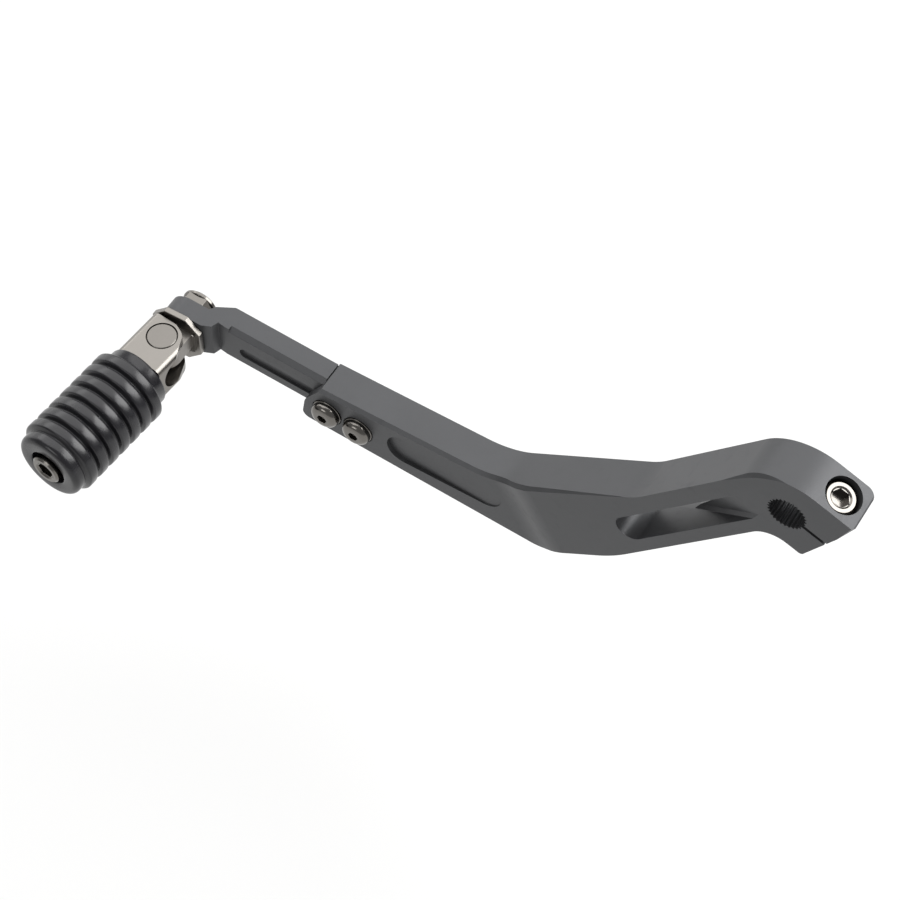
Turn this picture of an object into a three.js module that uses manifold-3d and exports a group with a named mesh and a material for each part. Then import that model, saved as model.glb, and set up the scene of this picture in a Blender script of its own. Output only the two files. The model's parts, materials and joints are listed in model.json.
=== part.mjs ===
// Folding-toe gear shift lever for a motorcycle, as an assembly of separate pieces.
//
// Frame, in millimetres: the origin is the centre of the splined bore, +Y runs along
// the bore towards the engine, +X runs from the toe peg to the clamp, and +Z is up.
// The toe peg stands out to -Y. Outlines are drawn in the XZ plane of the lever.

import * as THREE from 'three';
import { mergeVertices } from 'three/addons/utils/BufferGeometryUtils.js';
import Module from 'manifold-3d';

const wasm = await Module();
wasm.setup();

const DEG = Math.PI / 180;

// ---------------------------------------------------------------- driving sizes

const FIT = 0.3; // free gap between pieces that touch in the real assembly
const SLIP = 0.25; // radial clearance round a shank in its hole
const OVER = 2; // how far a cutter runs past the face it opens

const clamp = {
  thickness: 14.3, // along the bore
  boreRadius: 6.0, // to the roots of the serrations
  toothDepth: 0.55,
  teeth: 28,
  tilt: -23.4, // fall of the clamp's top face, degrees
  topHeight: 14.1, // top face above the bore centre, square to the slit
  slit: 1.2,
  endTop: [19.8, 6.8],
  endBottom: [6.1, -15.8],
  crestRadius: 19,
  throatRadius: 9,
  cornerRadius: 3.5,
};

const pinch = {
  along: 7.7, // bolt axis from the bore centre, along the slit
  thread: 6,
  headDiameter: 10,
  headHeight: 6,
  hex: 5,
  sunk: 1.9, // head top below the clamp's top face
  length: 16,
};

const arm = {
  frontStep: 2.3, // how much thinner the straight arm is than the clamp, at the front
  jointX: -155.2, // shoulder where the front arm starts
  jointTopZ: -58.0,
  elbowTop: [-93.6, -59.1],
  kneeTop: [-45.5, -27.9],
  crest: [-5.4, 17.7],
  throat: [-4.6, -11.25],
  kneeBottom: [-51.1, -63.8],
  elbowBottom: [-77.8, -82.6],
  lobeBottom: [-161.9, -75.1],
  lobeTop: [-160.6, -66.4],
  elbowRadius: 28,
  kneeRadius: 25,
  kneeBottomRadius: 55,
  heelRadius: 8,
  bevel: 1.15,
  rampFoot: [-90.1, -58.0], // where the ramp out to the clamp's thickness starts, on the top edge
  rampLean: 27.3, // lean of the ramp across the elbow, degrees
  rampRun: 8.6,
  rampRadius: 27,
};

const slot = {
  width: 9.1, // lightening window beside the clamp
  start: [-46.5, -44.8],
  rise: 48.5, // degrees
  wall: 4.3, // material left round the bore
  rampDepth: 11.6,
  rampLength: 39.5,
  foot: 1.0, // fillet between ramp and wall
};

const crestChamfer = { depth: 1.05, lead: 9, sweep: 46 }; // lead on the straight, sweep round the crest, degrees

const recess = {
  left: -130.9,
  right: -90.5,
  centreZ: -67.6,
  radius: 6,
  depth: 1.5,
  fall: -1.2, // degrees
  fade: 1.7, // degrees, the floor rises towards the elbow
};

const front = {
  hub: [-206.3, -63.0], // stud axis at the toe
  fall: -4.8, // degrees, the front arm drops towards the joint
  faceY: -1.1,
  backInset: 0.25,
  top: 8.75,
  bottom: -5.2,
  lugBack: 1.8,
  lugFront: -4.7,
  bevel: 1.6,
  grooveWidth: 4,
  grooveDepth: 1,
  grooveStart: 19.6,
};

const tongue = { top: 5.4, bottom: -5.0, length: 21.5, endRadius: 3 };

const joint = {
  screws: [54.0, 65.2], // along the front arm from the toe hub
  thread: 5,
  headDiameter: 9.5,
  headHeight: 2.75,
  hex: 3,
  washerDiameter: 10,
  washerThickness: 0.9,
  spotDepth: 0.5,
  grip: 5.2, // thread length in the tongue
};

const stop = {
  thickness: 2.0,
  width: 17.4,
  height: 19.0,
  cut: 4.9,
};

const knuckle = {
  foot: 0.7, // thickness of the eye's foot on the plate
  footWidth: 14.2,
  stud: 6,
  eyeRadius: 6.2,
  eyeTop: 4.7,
  eyeBottom: -1.4,
  pinReach: 7.1, // plate to hinge axis
};

const nut = { flats: 11, hexHeight: 4.2, collarRadius: 6.1, height: 5.8, insertHeight: 1.2 };

const peg = {
  turn: -5.5, // rest angle of the peg about its pin, degrees
  width: 16.4,
  height: 15,
  cheek: 2.4,
  left: 6.0, // flat stop corner, from the pin towards the plate
  reach: 11.3, // pin to the rubber
  slotEnd: 9.2,
  corner: 2.4,
};

const pin = { head: 9.5, headHeight: 1.6, shank: 7, proud: 2.0, groove: 0.45 };
const clip = { outer: 12.2, thickness: 0.8, drop: 0.35 };
const bush = { wall: 0.9 };
const spring = { wire: 0.8, turns: 1.75, gap: 0.35, leg: 2.6 };

const grip = {
  length: 43,
  collar: 10.4,
  ridge: 13.0,
  valley: 11.7,
  ridges: 7,
  firstRidge: 6.4,
  pitch: 5.0,
  cap: 11.4,
  core: 6.0,
  insertWall: 1.2,
  counterbore: 6.2,
  counterboreDepth: 4.2,
  lip: 3.0,
};

const pegScrew = { thread: 6, head: 10, headHeight: 4.2, hex: 5, length: 14, washer: 11.6, washerThickness: 1.0 };

// Places that follow from the sizes above.

const half = clamp.thickness / 2;
const armFrontY = -half + arm.frontStep;
const backY = half - front.backInset;
const cheekBackY = front.faceY - FIT;
const stopY = front.lugFront;
const flangeY = stopY - stop.thickness;
const pinY = flangeY - knuckle.pinReach;

// ---------------------------------------------------------------- solid helpers

/** A closed three.js geometry as a solid, turned right side out when needed. */
function solid(geometry) {
  const plain = geometry.clone();
  plain.deleteAttribute('normal');
  plain.deleteAttribute('uv');
  const merged = mergeVertices(plain, 1e-4);
  const vertProperties = Float32Array.from(merged.attributes.position.array);
  const kept = [];
  const index = merged.index.array;
  let volume = 0;
  for (let i = 0; i < index.length; i += 3) {
    const [a, b, c] = [index[i], index[i + 1], index[i + 2]];
    if (a === b || b === c || c === a) continue;
    kept.push(a, b, c);
    const p = new THREE.Vector3().fromArray(vertProperties, 3 * a);
    const q = new THREE.Vector3().fromArray(vertProperties, 3 * b);
    const r = new THREE.Vector3().fromArray(vertProperties, 3 * c);
    volume += p.dot(q.cross(r));
  }
  if (volume < 0) {
    for (let i = 0; i < kept.length; i += 3) [kept[i + 1], kept[i + 2]] = [kept[i + 2], kept[i + 1]];
  }
  return new wasm.Manifold(new wasm.Mesh({ numProp: 3, vertProperties, triVerts: Uint32Array.from(kept) }));
}

/** A named mesh from a solid. */
function piece(name, body, material) {
  const { vertProperties, triVerts } = body.getMesh();
  const geometry = new THREE.BufferGeometry();
  geometry.setAttribute('position', new THREE.BufferAttribute(Float32Array.from(vertProperties), 3));
  geometry.setIndex(new THREE.BufferAttribute(Uint32Array.from(triVerts), 1));
  geometry.computeVertexNormals();
  const mesh = new THREE.Mesh(geometry, material);
  mesh.name = name;
  return mesh;
}

/** A closed outline from corners [x, y, radius], with an arc at each rounded corner. */
function outline(corners) {
  const shape = new THREE.Shape();
  corners.forEach(([x, y, radius = 0], i) => {
    const here = new THREE.Vector2(x, y);
    const before = new THREE.Vector2(...corners[(i + corners.length - 1) % corners.length]);
    const after = new THREE.Vector2(...corners[(i + 1) % corners.length]);
    const into = before.sub(here).normalize();
    const out = after.sub(here).normalize();
    const angle = Math.acos(THREE.MathUtils.clamp(into.dot(out), -1, 1));
    const leg = radius / Math.tan(angle / 2);
    const a = here.clone().addScaledVector(into, leg);
    if (i === 0) shape.moveTo(a.x, a.y);
    else shape.lineTo(a.x, a.y);
    if (radius === 0) return;
    const centre = here.clone().addScaledVector(into.clone().add(out).normalize(), radius / Math.sin(angle / 2));
    const b = here.clone().addScaledVector(out, leg);
    const clockwise = into.cross(out) > 0;
    const from = Math.atan2(a.y - centre.y, a.x - centre.x);
    const to = Math.atan2(b.y - centre.y, b.x - centre.x);
    shape.absarc(centre.x, centre.y, radius, from, to, clockwise);
  });
  shape.closePath();
  return shape;
}

/** An outline in XZ pushed along Y between two places. */
function alongY(shape, from, to, curveSegments = 12) {
  const g = new THREE.ExtrudeGeometry(shape, { depth: to - from, bevelEnabled: false, curveSegments });
  g.rotateX(Math.PI / 2).translate(0, to, 0);
  return solid(g);
}

/** An outline in XY pushed along Z between two heights. */
function alongZ(shape, from, to, curveSegments = 12) {
  const g = new THREE.ExtrudeGeometry(shape, { depth: to - from, bevelEnabled: false, curveSegments });
  g.translate(0, 0, from);
  return solid(g);
}

/** A turned piece about the Y axis from [radius, y] points. */
function turned(points, segments = 32) {
  return solid(new THREE.LatheGeometry(points.map(([r, y]) => new THREE.Vector2(r, y)), segments));
}

/** A plain round rod or plug about the Y axis. */
function rod(radius, from, to, segments = 32) {
  return turned([[0, from], [radius, from], [radius, to], [0, to]], segments);
}

/** A hexagon about the Y axis with two flats facing +Z and -Z. */
function hexRod(flats, from, to) {
  const shape = new THREE.Shape();
  const corner = flats / Math.sqrt(3);
  for (let i = 0; i < 6; i++) {
    const p = [corner * Math.cos(i * 60 * DEG), corner * Math.sin(i * 60 * DEG)];
    if (i === 0) shape.moveTo(...p);
    else shape.lineTo(...p);
  }
  shape.closePath();
  return alongY(shape, from, to);
}

/** A rectangle centred on the origin with 45 degree cut corners. */
function cutRectangle(width, height, cut) {
  const [w, h] = [width / 2, height / 2];
  return outline([
    [-w, -h + cut], [-w + cut, -h], [w - cut, -h], [w, -h + cut],
    [w, h - cut], [w - cut, h], [-w + cut, h], [-w, h - cut],
  ]);
}

/** A point on the front arm's own axes, from the toe hub. */
function onFrontArm(along, up) {
  const a = front.fall * DEG;
  return [
    front.hub[0] + along * Math.cos(a) - up * Math.sin(a),
    front.hub[1] + along * Math.sin(a) + up * Math.cos(a),
  ];
}

/** A point on the clamp's own axes: along the slit, and square to it. */
function onClamp(along, up) {
  const a = clamp.tilt * DEG;
  return [along * Math.cos(a) - up * Math.sin(a), along * Math.sin(a) + up * Math.cos(a)];
}

/** Turns a solid made about Y, head to -Y, so that its head faces out of the clamp's top. */
function intoClamp(body) {
  const [x, z] = onClamp(pinch.along, 0);
  return body.rotate([-90, 0, 0]).rotate([0, -clamp.tilt, 0]).translate([x, 0, z]);
}

// ---------------------------------------------------------------- finishes

const paint = (color, roughness, metalness) => new THREE.MeshStandardMaterial({ color, roughness, metalness });
const anodised = paint(0x55585a, 0.42, 0.75);
const stainless = paint(0xc9c2b8, 0.25, 1.0);
const brightSteel = paint(0xd8d2c8, 0.3, 1.0);
const blackSteel = paint(0x18181a, 0.45, 0.9);
const bronze = paint(0xa5824c, 0.4, 0.9);
const springSteel = paint(0x8d8f92, 0.35, 1.0);
const rubber = paint(0x17181b, 0.55, 0.0);
const nylon = paint(0xd9dcd6, 0.5, 0.0);

// ---------------------------------------------------------------- main arm

/** The side outline of the main arm, clockwise from the top of the joint. */
function armOutline() {
  const a = arm;
  return outline([
    [a.jointX + 0.4, a.jointTopZ, 0.5],
    [...a.elbowTop, a.elbowRadius],
    [...a.kneeTop, a.kneeRadius],
    [...a.crest, clamp.crestRadius],
    [...clamp.endTop, 0.8],
    [...clamp.endBottom, 1.2],
    [...a.throat, clamp.throatRadius],
    [...a.kneeBottom, a.kneeBottomRadius],
    [...a.elbowBottom, a.heelRadius],
    [...a.lobeBottom, 2.6],
    [...a.lobeTop, 5],
  ]);
}

/** Thins the front of the straight arm, with a short ramp back out at the elbow. */
function frontStepCut() {
  const { rampFoot, rampLean, rampRun } = arm;
  const reach = 88;
  const runOut = rampRun + 6;
  const skin = -half - 0.002;
  const shape = outline([
    [-reach, -half - OVER], [runOut, -half - OVER], [runOut, skin],
    [rampRun, skin, arm.rampRadius], [0, armFrontY, arm.rampRadius], [-reach, armFrontY],
  ]);
  return alongZ(shape, -60, 60).rotate([0, -rampLean, 0]).translate([rampFoot[0], 0, rampFoot[1]]);
}

/** The serrated bore. */
function boreCut() {
  const shape = new THREE.Shape();
  const tip = clamp.boreRadius - clamp.toothDepth;
  for (let i = 0; i < 2 * clamp.teeth; i++) {
    const r = i % 2 ? tip : clamp.boreRadius;
    for (const edge of [-0.22, 0.22]) {
      const angle = ((i + edge) * Math.PI) / clamp.teeth;
      if (i === 0 && edge < 0) shape.moveTo(r * Math.cos(angle), r * Math.sin(angle));
      else shape.lineTo(r * Math.cos(angle), r * Math.sin(angle));
    }
  }
  shape.closePath();
  return alongY(shape, -half - OVER, half + OVER);
}

/** The clamp slit, from the bore out through the end face. */
function slitCut() {
  const reach = 30;
  const corners = [[2, -1], [reach, -1], [reach, 1], [2, 1]].map(([u, side]) => onClamp(u, (side * clamp.slit) / 2));
  return alongY(outline(corners), -half - OVER, half + OVER);
}

/** Counterbore, clearance hole and thread for the pinch bolt. */
function pinchCut() {
  const seat = -clamp.topHeight + pinch.sunk + pinch.headHeight;
  const hole = pinch.thread / 2 + SLIP;
  const head = pinch.headDiameter / 2 + 0.7;
  return intoClamp(turned([
    [0, -clamp.topHeight - 6], [head, -clamp.topHeight - 6], [head, seat], [hole, seat], [hole, 20], [0, 20],
  ]));
}

/** Rounds the clamp's back and front corners at its end face, as seen on its top. */
function endRound() {
  const end = 15.5;
  const corners = [
    [-60, -half - OVER], [end - 6, -half - OVER], [end - 6, -half], [end - 1.2, -half], [end, -half + 1.8],
    [end, half, clamp.cornerRadius], [end - 8, half], [end - 8, half + OVER], [-60, half + OVER],
  ];
  const shape = outline(corners);
  const block = alongZ(shape, -60, 60);
  return block.rotate([0, -clamp.tilt, 0]);
}

/** A bevel cutter that follows an edge of the arm. */
function bevelAlong(points, size, steps) {
  const diamond = outline([[size, 0], [0, size], [-size, 0], [0, -size]]);
  const path = new THREE.CatmullRomCurve3(points, false, 'centripetal');
  return solid(new THREE.ExtrudeGeometry(diamond, { steps, extrudePath: path, bevelEnabled: false }));
}

/** The centre of a rounded corner of the arm, and where its arc starts and ends. */
function cornerArc(before, at, after, radius) {
  const corner = new THREE.Vector2(...at);
  const into = new THREE.Vector2(...before).sub(corner).normalize();
  const out = new THREE.Vector2(...after).sub(corner).normalize();
  const opening = Math.acos(into.dot(out));
  const leg = radius / Math.tan(opening / 2);
  const centre = corner.clone().addScaledVector(into.clone().add(out).normalize(), radius / Math.sin(opening / 2));
  const first = corner.clone().addScaledVector(into, leg);
  const last = corner.clone().addScaledVector(out, leg);
  return { corner, into, out, leg, centre, first, last };
}

/** A slim bevel on the front edge of the crest, which runs out at both ends. */
function crestBevel() {
  const { depth, lead, sweep } = crestChamfer;
  const { into, centre, first } = cornerArc(arm.kneeTop, arm.crest, clamp.endTop, clamp.crestRadius);
  const edge = [3, 2, 1].map((i) => first.clone().addScaledVector(into, (lead * i) / 3));
  const start = first.clone().sub(centre).angle();
  for (let i = 0; i <= 8; i++) {
    const turn = start - (sweep * DEG * i) / 8;
    edge.push(new THREE.Vector2(Math.cos(turn), Math.sin(turn)).multiplyScalar(clamp.crestRadius).add(centre));
  }
  const points = edge.map(({ x, y: z }, i) => {
    const share = Math.sin((Math.PI * i) / (edge.length - 1));
    return new THREE.Vector3(x, -half - depth * (1.02 - share), z);
  });
  return bevelAlong(points, depth, 48);
}

/** The cutter's fillet along the foot of the ramp, from its deep end to its tip. */
function rampFoot(deep, depthY, shallow, angle) {
  const from = new THREE.Vector3(deep[0], depthY, deep[1]);
  const to = new THREE.Vector3(shallow[0], -half, shallow[1]);
  const along = to.clone().sub(from).normalize();
  const wall = new THREE.Vector3(-Math.sin(angle), 0, Math.cos(angle));
  const floor = new THREE.Vector3().crossVectors(along, wall).normalize();
  if (floor.y > 0) floor.negate();
  const out = wall.clone().add(floor).normalize();
  const side = new THREE.Vector3().crossVectors(out, along);
  const box = new THREE.BoxGeometry(2 * from.distanceTo(to), 12, 12);
  const middle = from.addScaledVector(out, slot.foot * Math.SQRT1_2 - 6);
  return solid(box.applyMatrix4(new THREE.Matrix4().makeBasis(along, out, side).setPosition(middle)));
}

/** The window beside the clamp, with the ramped web that closes its far end. */
function windowCut() {
  const a = slot.rise * DEG;
  const place = (t, w) => [
    slot.start[0] + t * Math.cos(a) - w * Math.sin(a),
    slot.start[1] + t * Math.sin(a) + w * Math.cos(a),
  ];
  const [h, length] = [slot.width / 2, 62];
  const shape = outline([
    [...place(-h, h), h - 0.05], [...place(length, h), 2], [...place(length, -h), 2], [...place(-h, -h), h - 0.05],
  ]);
  const boss = rod(clamp.boreRadius + slot.wall, -half - 2 * OVER, half + 2 * OVER, 48);
  const tip = 54.2;
  const apex = tip - slot.rampLength;
  const web = outline([place(apex, -h - 1), place(apex + 38, h + 1), place(length + 4, h + 1), place(length + 4, -h - 1)]);
  const ramp = new THREE.Shape();
  ramp.moveTo(apex - 4, -half + slot.rampDepth * (slot.rampLength + 4) / slot.rampLength);
  ramp.lineTo(tip, -half);
  ramp.lineTo(length + 8, -half);
  ramp.lineTo(length + 8, half + 2 * OVER);
  ramp.lineTo(apex - 4, half + 2 * OVER);
  ramp.closePath();
  const behind = alongZ(ramp, -20, 20).rotate([0, -slot.rise, 0]).translate([slot.start[0], 0, slot.start[1]]);
  const foot = rampFoot(place(apex, -h), -half + slot.rampDepth, place(tip, -h), a);
  const webSolid = alongY(web, -half - OVER, half + 2 * OVER).intersect(behind.add(foot));
  return alongY(shape, -half - OVER, half + OVER, 16).subtract(boss).subtract(webSolid);
}

/** The long shallow recess in the front of the straight arm. */
function recessCut() {
  const r = recess;
  const shape = outline([
    [0, r.radius, r.radius - 0.05], [r.right - r.left, r.radius, r.radius - 0.05],
    [r.right - r.left, -r.radius, r.radius - 0.05], [0, -r.radius, r.radius - 0.05],
  ]);
  return alongY(shape, -6, 0, 16)
    .rotate([0, -r.fall, -r.fade])
    .translate([r.left, armFrontY + r.depth, r.centreZ]);
}

/** The bevel along the top front edge, which follows the elbow and runs out up the rise. */
function topBevelCut() {
  const { elbowTop, kneeTop, jointX, jointTopZ, elbowRadius, rampFoot, rampRun, bevel } = arm;
  const { corner, into, out, leg, centre, first: arcStart, last: arcEnd } = cornerArc(
    [jointX, jointTopZ], elbowTop, kneeTop, elbowRadius,
  );
  const first = arcStart.sub(centre).angle();
  const last = arcEnd.sub(centre).angle();
  const edge = [new THREE.Vector2(jointX - 3, jointTopZ + 0.05)];
  for (let i = 1; i < 8; i++) edge.push(corner.clone().addScaledVector(into, leg + (8 - i) * 7.4));
  for (let i = 0; i <= 8; i++) {
    const turn = first + ((last - first) * i) / 8;
    edge.push(new THREE.Vector2(Math.cos(turn), Math.sin(turn)).multiplyScalar(elbowRadius).add(centre));
  }
  for (let i = 1; i < 8; i++) edge.push(corner.clone().addScaledVector(out, leg + i * 6.2));
  const lean = arm.rampLean * DEG;
  const rampEnd = rampFoot[0] + rampRun;
  const points = edge.map(({ x, y: z }) => {
    const across = (x - rampFoot[0]) * Math.cos(lean) + (z - rampFoot[1]) * Math.sin(lean);
    const ramp = THREE.MathUtils.clamp(across / rampRun, 0, 1);
    const fade = THREE.MathUtils.clamp((x - rampEnd) / (kneeTop[0] - rampEnd), 0, 1.2);
    return new THREE.Vector3(x, armFrontY - ramp * arm.frontStep - fade * bevel, z);
  });
  return bevelAlong(points, bevel, 64);
}

/** The pocket for the front arm's tongue, open to the back and at the joint. */
function tonguePocket() {
  const start = (arm.jointX - front.hub[0]) / Math.cos(front.fall * DEG) - 8;
  const end = start + 8 + tongue.length + FIT;
  const corners = [
    [...onFrontArm(start, tongue.bottom - FIT)],
    [...onFrontArm(end, tongue.bottom - FIT), tongue.endRadius],
    [...onFrontArm(end, tongue.top + FIT), tongue.endRadius],
    [...onFrontArm(start, tongue.top + FIT)],
  ];
  return alongY(outline(corners), cheekBackY, half + OVER);
}

/** Everything behind the cheek to the left of the joint line. */
function cheekRelief() {
  const shape = outline([[-175, -100], [arm.jointX, -100], [arm.jointX, -40], [-175, -40]]);
  return alongY(shape, cheekBackY, half + OVER);
}

function screwHole(place, radius, from, to) {
  return rod(radius, from, to, 32).translate([place[0], 0, place[1]]);
}

function mainArm() {
  let body = alongY(armOutline(), -half, half, 14)
    .subtract(frontStepCut())
    .subtract(boreCut())
    .subtract(slitCut())
    .subtract(pinchCut())
    .subtract(windowCut())
    .subtract(recessCut())
    .subtract(topBevelCut())
    .subtract(crestBevel())
    .subtract(cheekRelief())
    .subtract(tonguePocket());
  const nearClamp = alongY(outline([[-6, -30], [40, -30], [40, 30], [-6, 30]]), -half - OVER, half + OVER);
  body = body.subtract(nearClamp.subtract(endRound()));
  for (const along of joint.screws) {
    const place = onFrontArm(along, 0);
    body = body
      .subtract(screwHole(place, joint.washerDiameter / 2 + FIT, armFrontY - OVER, armFrontY + joint.spotDepth))
      .subtract(screwHole(place, joint.thread / 2 + SLIP, armFrontY - OVER, 0));
  }
  return piece('main_arm', body, anodised);
}

// ---------------------------------------------------------------- front arm

/** Plan view of the front arm: nut seat at the back, lug and relief notch at the front. */
function frontPlan() {
  const f = front;
  const x0 = f.hub[0];
  const root = arm.jointX - FIT;
  return outline([
    [x0 - 12, f.lugBack], [x0 - 12, f.lugFront], [x0 + 8.2, f.lugFront], [x0 + 11.2, f.lugFront + 1.4],
    [x0 + 12.0, f.faceY + 0.3], [x0 + 14.6, f.faceY], [root, f.faceY], [root, backY],
    [x0 + 13.6, backY, 2], [x0 + 8.4, f.lugBack + 2], [x0 + 7.0, f.lugBack],
  ]);
}

function frontArmBar() {
  const f = front;
  const mid = (f.top + f.bottom) / 2;
  const nose = (f.top - f.bottom) / 2;
  const end = (arm.jointX - f.hub[0]) / Math.cos(f.fall * DEG) + 6;
  const bar = outline([
    [...onFrontArm(-nose, f.top), nose - 0.05], [...onFrontArm(end, f.top)],
    [...onFrontArm(end, f.bottom)], [...onFrontArm(-nose, f.bottom), nose - 0.05],
  ]);
  const [, midZ] = onFrontArm(20, mid);
  return alongY(bar, f.lugFront - OVER, half + OVER, 16).intersect(alongZ(frontPlan(), midZ - 30, midZ + 30));
}

/** The bevel on the front top edge of the front arm. */
function frontBevelCut() {
  const c = front.bevel;
  const start = onFrontArm(15.4, front.top);
  const diamond = outline([[c, 0], [0, c], [-c, 0], [0, -c]]);
  const bar = new THREE.ExtrudeGeometry(diamond, { depth: 60, bevelEnabled: false });
  bar.rotateY(Math.PI / 2);
  return solid(bar).rotate([0, -front.fall, 0]).translate([start[0], front.faceY, start[1]]);
}

function frontGrooveCut() {
  const f = front;
  const [w, start, end] = [f.grooveWidth / 2, f.grooveStart, 75];
  const shape = outline([
    [...onFrontArm(start, w), w - 0.05], [...onFrontArm(end, w)],
    [...onFrontArm(end, -w)], [...onFrontArm(start, -w), w - 0.05],
  ]);
  const ring = 47;
  const keep = outline([onFrontArm(ring, 9), onFrontArm(90, 9), onFrontArm(90, -9), onFrontArm(ring, -9)]);
  return alongY(shape, f.faceY - OVER, f.faceY + f.grooveDepth).subtract(alongY(keep, -20, 20));
}

function frontArm() {
  const root = (arm.jointX - front.hub[0]) / Math.cos(front.fall * DEG);
  const corners = [
    [...onFrontArm(root - 3, tongue.bottom)],
    [...onFrontArm(root + tongue.length, tongue.bottom), tongue.endRadius],
    [...onFrontArm(root + tongue.length, tongue.top), tongue.endRadius],
    [...onFrontArm(root - 3, tongue.top)],
  ];
  let body = frontArmBar()
    .add(alongY(outline(corners), front.faceY, backY))
    .subtract(frontBevelCut())
    .subtract(frontGrooveCut())
    .subtract(screwHole(front.hub, knuckle.stud / 2 + SLIP, -20, 20));
  for (const along of joint.screws) {
    body = body.subtract(screwHole(onFrontArm(along, 0), joint.thread / 2 + SLIP, -10, front.faceY + joint.grip + 1));
  }
  return piece('front_arm', body, anodised);
}

// ---------------------------------------------------------------- fasteners

/** A socket cap screw about Y with its head's top at y = 0 and its shank towards +Y. */
function capScrew({ thread, headDiameter, headHeight, hex, length }) {
  const [r, R, edge] = [thread / 2, headDiameter / 2, 0.6];
  const socket = headHeight * 0.55;
  const ring = hex / Math.sqrt(3) + 0.45;
  const body = turned([
    [0, 0], [R - edge, 0], [R, edge], [R, headHeight], [r, headHeight],
    [r, headHeight + length - 0.8], [r - 0.8, headHeight + length], [0, headHeight + length],
  ], 40);
  const mouth = turned([[0, -1], [ring + 1, -1], [ring - 0.5, 0.5], [0, 0.5]], 40);
  return body.subtract(hexRod(hex, -1, socket)).subtract(mouth);
}

function pinchBolt() {
  const screw = capScrew(pinch).translate([0, -clamp.topHeight + pinch.sunk - FIT, 0]);
  return piece('pinch_bolt', intoClamp(screw), stainless);
}

/** A button head screw about Y, seated with its head's underside at y = 0. */
function buttonScrew() {
  const [r, R, h] = [joint.thread / 2, joint.headDiameter / 2, joint.headHeight];
  const dome = [];
  const steps = 7;
  const flat = joint.hex / Math.sqrt(3) + 0.7;
  for (let i = 0; i <= steps; i++) {
    const a = (i / steps) * 90 * DEG;
    dome.push([flat + (R - flat) * Math.sin(a), -h * 0.25 - h * 0.75 * Math.cos(a)]);
  }
  const reach = joint.washerThickness - joint.spotDepth - armFrontY + front.faceY + joint.grip;
  return turned([[0, -h], ...dome, [R, 0], [r, 0], [r, reach - 0.7], [r - 0.7, reach], [0, reach]], 40)
    .subtract(hexRod(joint.hex, -h - 1, -h + 1.6));
}

function jointFasteners() {
  const seat = armFrontY + joint.spotDepth;
  return joint.screws.flatMap((along, i) => {
    const [x, z] = onFrontArm(along, 0);
    const hole = joint.thread / 2 + SLIP;
    const washer = turned([
      [hole, 0], [hole, -joint.washerThickness], [joint.washerDiameter / 2 - 0.2, -joint.washerThickness],
      [joint.washerDiameter / 2, -joint.washerThickness + 0.2], [joint.washerDiameter / 2, 0], [hole, 0],
    ], 40);
    return [
      piece(`joint_screw_${i + 1}`, buttonScrew().translate([x, seat - joint.washerThickness, z]), stainless),
      piece(`joint_washer_${i + 1}`, washer.translate([x, seat, z]), stainless),
    ];
  });
}

// ---------------------------------------------------------------- toe hinge, fixed side

/** Moves a solid made about the stud axis to the toe hub. */
const atHub = (body) => body.translate([front.hub[0], 0, front.hub[1]]);

function stopPlate() {
  const shape = cutRectangle(stop.width, stop.height, stop.cut);
  const body = alongY(shape, flangeY, stopY).subtract(rod(knuckle.stud / 2 + SLIP, -30, 30));
  return piece('stop_plate', atHub(body), stainless);
}

/** The fixed eye with its flange and the stud that passes through plate and lug. */
function hingeKnuckle() {
  const k = knuckle;
  const face = flangeY - k.foot;
  const w = k.footWidth / 2;
  const footShape = outline([[-w, k.eyeBottom - 2.5, 1], [w, k.eyeBottom - 2.5, 1], [w, k.eyeTop, 1], [-w, k.eyeTop, 1]]);
  const foot = alongY(footShape, face, flangeY - 0.02);
  const eye = outline([
    [-k.eyeRadius, face + 0.5], [-k.eyeRadius, pinY - k.eyeRadius, k.eyeRadius - 0.05],
    [k.eyeRadius, pinY - k.eyeRadius, k.eyeRadius - 0.05], [k.eyeRadius, face + 0.5],
  ]);
  const stud = turned([
    [0, flangeY - 0.3], [k.stud / 2, flangeY - 0.3], [k.stud / 2, front.lugBack + nut.height + 0.5],
    [k.stud / 2 - 0.6, front.lugBack + nut.height + 1.1], [0, front.lugBack + nut.height + 1.1],
  ]);
  const bore = solid(new THREE.CylinderGeometry(bushOuter() + SLIP, bushOuter() + SLIP, 40, 36))
    .rotate([90, 0, 0]).translate([0, pinY, 0]);
  const body = foot.add(alongZ(eye, k.eyeBottom, k.eyeTop, 16)).add(stud).subtract(bore);
  return piece('hinge_knuckle', atHub(body), brightSteel);
}

const bushOuter = () => pin.shank / 2 + SLIP + bush.wall;

/** A turned piece about the hinge axis, from [radius, z] points. */
function aboutPin(points, segments = 36) {
  return turned(points, segments).rotate([90, 0, 0]);
}

function pivotBush() {
  const k = knuckle;
  const inner = pin.shank / 2 + SLIP;
  const ring = aboutPin([
    [inner, k.eyeBottom], [bushOuter(), k.eyeBottom], [bushOuter(), k.eyeTop], [inner, k.eyeTop], [inner, k.eyeBottom],
  ]);
  return piece('pivot_bush', atHub(ring.translate([0, pinY, 0])), bronze);
}

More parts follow.
